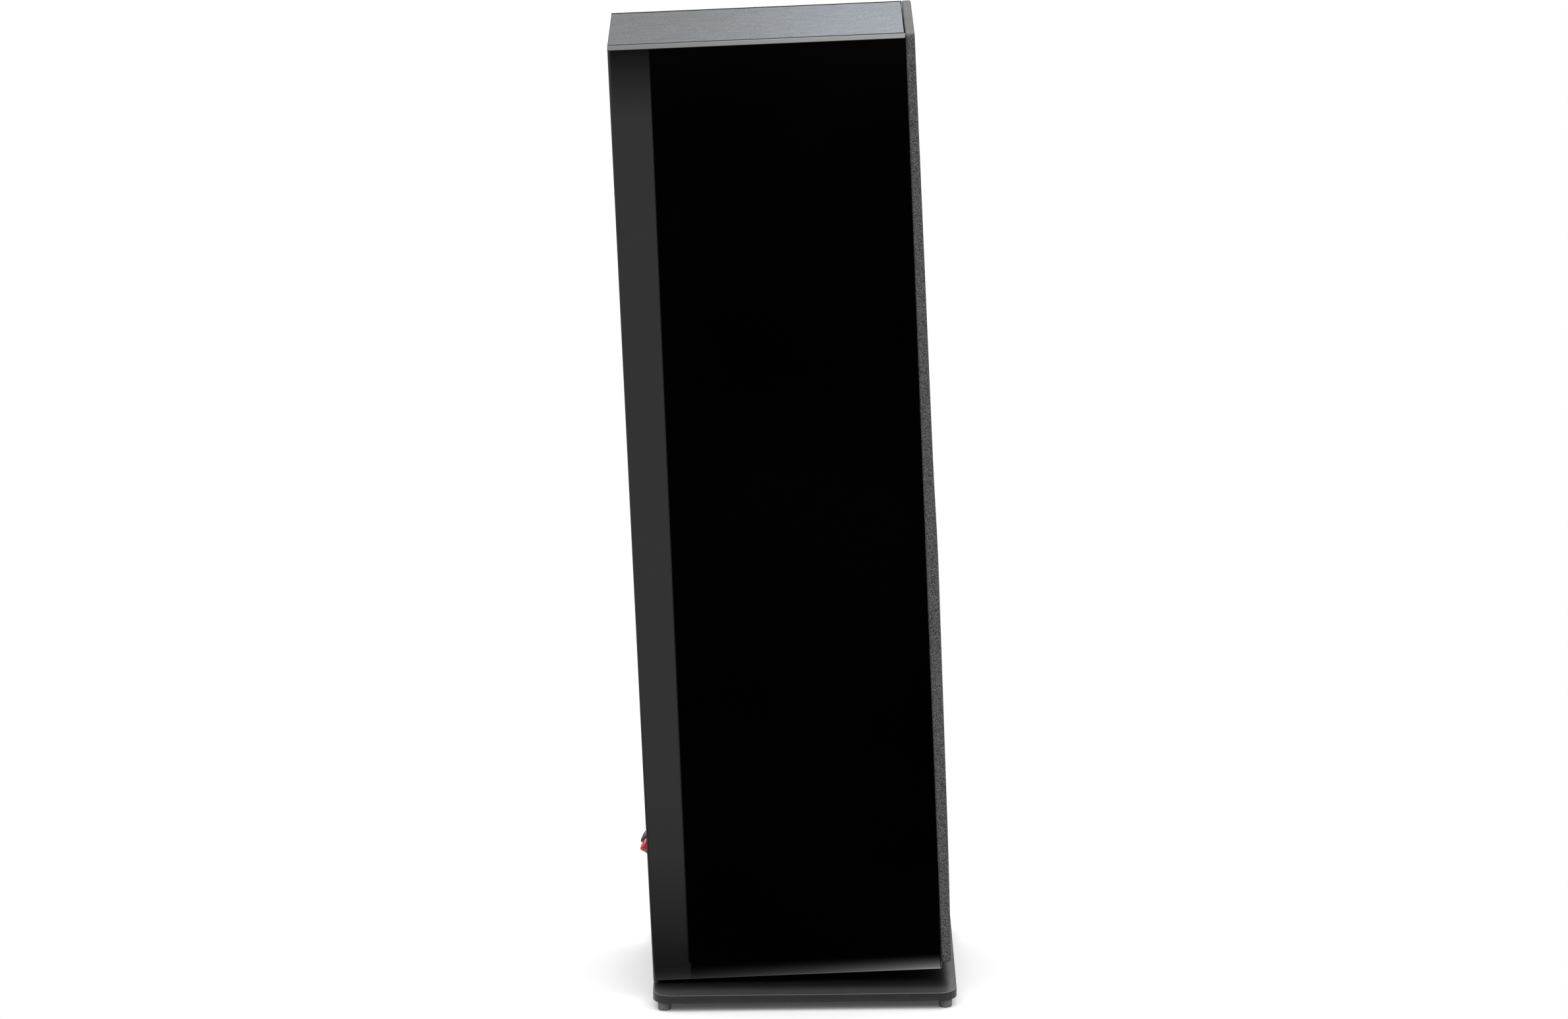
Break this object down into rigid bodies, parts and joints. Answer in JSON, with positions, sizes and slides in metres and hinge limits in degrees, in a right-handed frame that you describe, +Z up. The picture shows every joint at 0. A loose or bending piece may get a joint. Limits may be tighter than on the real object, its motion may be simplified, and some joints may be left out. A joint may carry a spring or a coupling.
{
  "type": "floorstanding speaker",
  "caption": "Slim ported three-way column loudspeaker with gloss side panels, a grained baffle and a flat plinth on small screw feet, leaning slightly back.",
  "frame": {"origin": "on the floor, at the centre of the outer box's footprint", "axes": "+Z up, -Y is the front that the drivers face, +X is the right-hand side seen from the front"},
  "size_m": [0.296, 0.3566, 1.0452],
  "materials": {
    "gloss_lacquer": "high-gloss black lacquer over fibreboard",
    "top_vinyl": "fine-grained slate vinyl wrap over fibreboard",
    "rear_vinyl": "fine-grained dark vinyl wrap over fibreboard",
    "bare_board": "bare fibreboard",
    "baffle_grain": "leather-grained charcoal wrap over fibreboard",
    "damping_foam": "open wadding",
    "trim_plastic": "satin moulded plastic",
    "basket_metal": "painted casting",
    "surround_rubber": "soft moulded rubber",
    "cone_skin": "coated pressed fibre",
    "dust_cap_skin": "smooth pressed fibre",
    "coil_copper": "enamelled copper winding",
    "spider_cloth": "impregnated cloth",
    "motor_steel": "black-passivated steel and ferrite",
    "dome_fabric": "coated woven dome",
    "guard_metal": "satin black guard",
    "port_plastic": "fine-textured moulded plastic",
    "cup_plastic": "spark-textured moulded plastic",
    "post_brass": "gold-plated brass",
    "cap_red": "translucent red moulding",
    "cap_black": "black moulding",
    "circuit_board": "lacquered board with parts",
    "loom_sleeve": "sleeved leads",
    "plinth_powder": "satin black powder coat",
    "riser_board": "black painted board",
    "foot_rubber": "matt moulded rubber",
    "stud_steel": "zinc-plated steel"
  },
  "bodies": {
    "root": {"side_panel_left": "gloss_lacquer", "side_panel_right": "gloss_lacquer", "top_cover": "top_vinyl", "bottom_panel": "bare_board", "rear_panel": "rear_vinyl", "sub_baffle": "bare_board", "front_baffle": "baffle_grain", "window_brace": "bare_board", "chamber_partition": "bare_board", "damping_pad": "damping_foam", "woofer_lower_trim_ring": "trim_plastic", "woofer_lower_basket": "basket_metal", "woofer_lower_surround": "surround_rubber", "woofer_lower_spider": "spider_cloth", "woofer_lower_motor": "motor_steel", "woofer_upper_trim_ring": "trim_plastic", "woofer_upper_basket": "basket_metal", "woofer_upper_surround": "surround_rubber", "woofer_upper_spider": "spider_cloth", "woofer_upper_motor": "motor_steel", "midrange_trim_ring": "trim_plastic", "midrange_basket": "basket_metal", "midrange_surround": "surround_rubber", "midrange_spider": "spider_cloth", "midrange_motor": "motor_steel", "tweeter_faceplate": "trim_plastic", "tweeter_motor": "motor_steel", "tweeter_guard": "guard_metal", "port_tube": "port_plastic", "terminal_cup": "cup_plastic", "positive_post_stud": "post_brass", "negative_post_stud": "post_brass", "crossover_board": "circuit_board", "crossover_inductor": "coil_copper", "wiring_loom": "loom_sleeve", "plinth": "plinth_powder", "plinth_riser": "riser_board"},
    "woofer_lower_diaphragm": {"woofer_lower_cone": "cone_skin", "woofer_lower_dust_cap": "dust_cap_skin", "woofer_lower_voice_coil": "coil_copper"},
    "woofer_upper_diaphragm": {"woofer_upper_cone": "cone_skin", "woofer_upper_dust_cap": "dust_cap_skin", "woofer_upper_voice_coil": "coil_copper"},
    "midrange_diaphragm": {"midrange_cone": "cone_skin", "midrange_dust_cap": "dust_cap_skin", "midrange_voice_coil": "coil_copper"},
    "tweeter_diaphragm": {"tweeter_dome": "dome_fabric", "tweeter_voice_coil": "coil_copper"},
    "positive_washer": {"positive_post_washer": "post_brass"},
    "positive_cap": {"positive_post_cap": "cap_red"},
    "negative_washer": {"negative_post_washer": "post_brass"},
    "negative_cap": {"negative_post_cap": "cap_black"},
    "foot_front_left_glide": {"foot_front_left_pad": "foot_rubber"},
    "foot_front_left_screw": {"foot_front_left_stud": "stud_steel"},
    "foot_front_right_glide": {"foot_front_right_pad": "foot_rubber"},
    "foot_front_right_screw": {"foot_front_right_stud": "stud_steel"},
    "foot_rear_left_glide": {"foot_rear_left_pad": "foot_rubber"},
    "foot_rear_left_screw": {"foot_rear_left_stud": "stud_steel"},
    "foot_rear_right_glide": {"foot_rear_right_pad": "foot_rubber"},
    "foot_rear_right_screw": {"foot_rear_right_stud": "stud_steel"}
  },
  "joints": [
    {"name": "woofer_lower_stroke", "type": "slide", "parent": "root", "child": "woofer_lower_diaphragm", "axis": [0, -0.9995, 0.0321], "range_m": [-0.005, 0.005], "stiffness_N_per_m": 1137, "deforming": ["woofer_lower_surround", "woofer_lower_spider"]},
    {"name": "woofer_upper_stroke", "type": "slide", "parent": "root", "child": "woofer_upper_diaphragm", "axis": [0, -0.9995, 0.0321], "range_m": [-0.005, 0.005], "stiffness_N_per_m": 1137, "deforming": ["woofer_upper_surround", "woofer_upper_spider"]},
    {"name": "midrange_stroke", "type": "slide", "parent": "root", "child": "midrange_diaphragm", "axis": [0, -0.9995, 0.0321], "range_m": [-0.003, 0.003], "stiffness_N_per_m": 1500, "deforming": ["midrange_surround", "midrange_spider"]},
    {"name": "tweeter_stroke", "type": "slide", "parent": "root", "child": "tweeter_diaphragm", "axis": [0, -0.9995, 0.0321], "range_m": [-0.0004, 0.0004], "stiffness_N_per_m": 2000},
    {"name": "positive_lift", "type": "slide", "parent": "root", "child": "positive_washer", "axis": [0, 0.8816, 0.4719], "range_m": [0, 0.005]},
    {"name": "positive_turn", "type": "hinge", "parent": "positive_washer", "child": "positive_cap", "pos_m": [-0.015, 0.12503, 0.13122], "axis": [0, 0.8816, 0.4719], "range_deg": [0, 1800]},
    {"name": "negative_lift", "type": "slide", "parent": "root", "child": "negative_washer", "axis": [0, 0.8816, 0.4719], "range_m": [0, 0.005]},
    {"name": "negative_turn", "type": "hinge", "parent": "negative_washer", "child": "negative_cap", "pos_m": [0.015, 0.12503, 0.13122], "axis": [0, 0.8816, 0.4719], "range_deg": [0, 1800]},
    {"name": "foot_front_left_lift", "type": "slide", "parent": "root", "child": "foot_front_left_glide", "axis": [0, 0, -1], "range_m": [0, 0.004]},
    {"name": "foot_front_left_turn", "type": "hinge", "parent": "foot_front_left_glide", "child": "foot_front_left_screw", "pos_m": [-0.1358, -0.16608, 0.009], "axis": [0, 0, -1], "range_deg": [0, 1440]},
    {"name": "foot_front_right_lift", "type": "slide", "parent": "root", "child": "foot_front_right_glide", "axis": [0, 0, -1], "range_m": [0, 0.004]},
    {"name": "foot_front_right_turn", "type": "hinge", "parent": "foot_front_right_glide", "child": "foot_front_right_screw", "pos_m": [0.1358, -0.16608, 0.009], "axis": [0, 0, -1], "range_deg": [0, 1440]},
    {"name": "foot_rear_left_lift", "type": "slide", "parent": "root", "child": "foot_rear_left_glide", "axis": [0, 0, -1], "range_m": [0, 0.004]},
    {"name": "foot_rear_left_turn", "type": "hinge", "parent": "foot_rear_left_glide", "child": "foot_rear_left_screw", "pos_m": [-0.1358, 0.13352, 0.009], "axis": [0, 0, -1], "range_deg": [0, 1440]},
    {"name": "foot_rear_right_lift", "type": "slide", "parent": "root", "child": "foot_rear_right_glide", "axis": [0, 0, -1], "range_m": [0, 0.004]},
    {"name": "foot_rear_right_turn", "type": "hinge", "parent": "foot_rear_right_glide", "child": "foot_rear_right_screw", "pos_m": [0.1358, 0.13352, 0.009], "axis": [0, 0, -1], "range_deg": [0, 1440]}
  ],
  "couplings": [
    {"joint": "positive_lift", "follows": "positive_turn", "m_per_rad": 0.00015915},
    {"joint": "negative_lift", "follows": "negative_turn", "m_per_rad": 0.00015915},
    {"joint": "foot_front_left_lift", "follows": "foot_front_left_turn", "m_per_rad": 0.00015915},
    {"joint": "foot_front_right_lift", "follows": "foot_front_right_turn", "m_per_rad": 0.00015915},
    {"joint": "foot_rear_left_lift", "follows": "foot_rear_left_turn", "m_per_rad": 0.00015915},
    {"joint": "foot_rear_right_lift", "follows": "foot_rear_right_turn", "m_per_rad": 0.00015915}
  ]
}
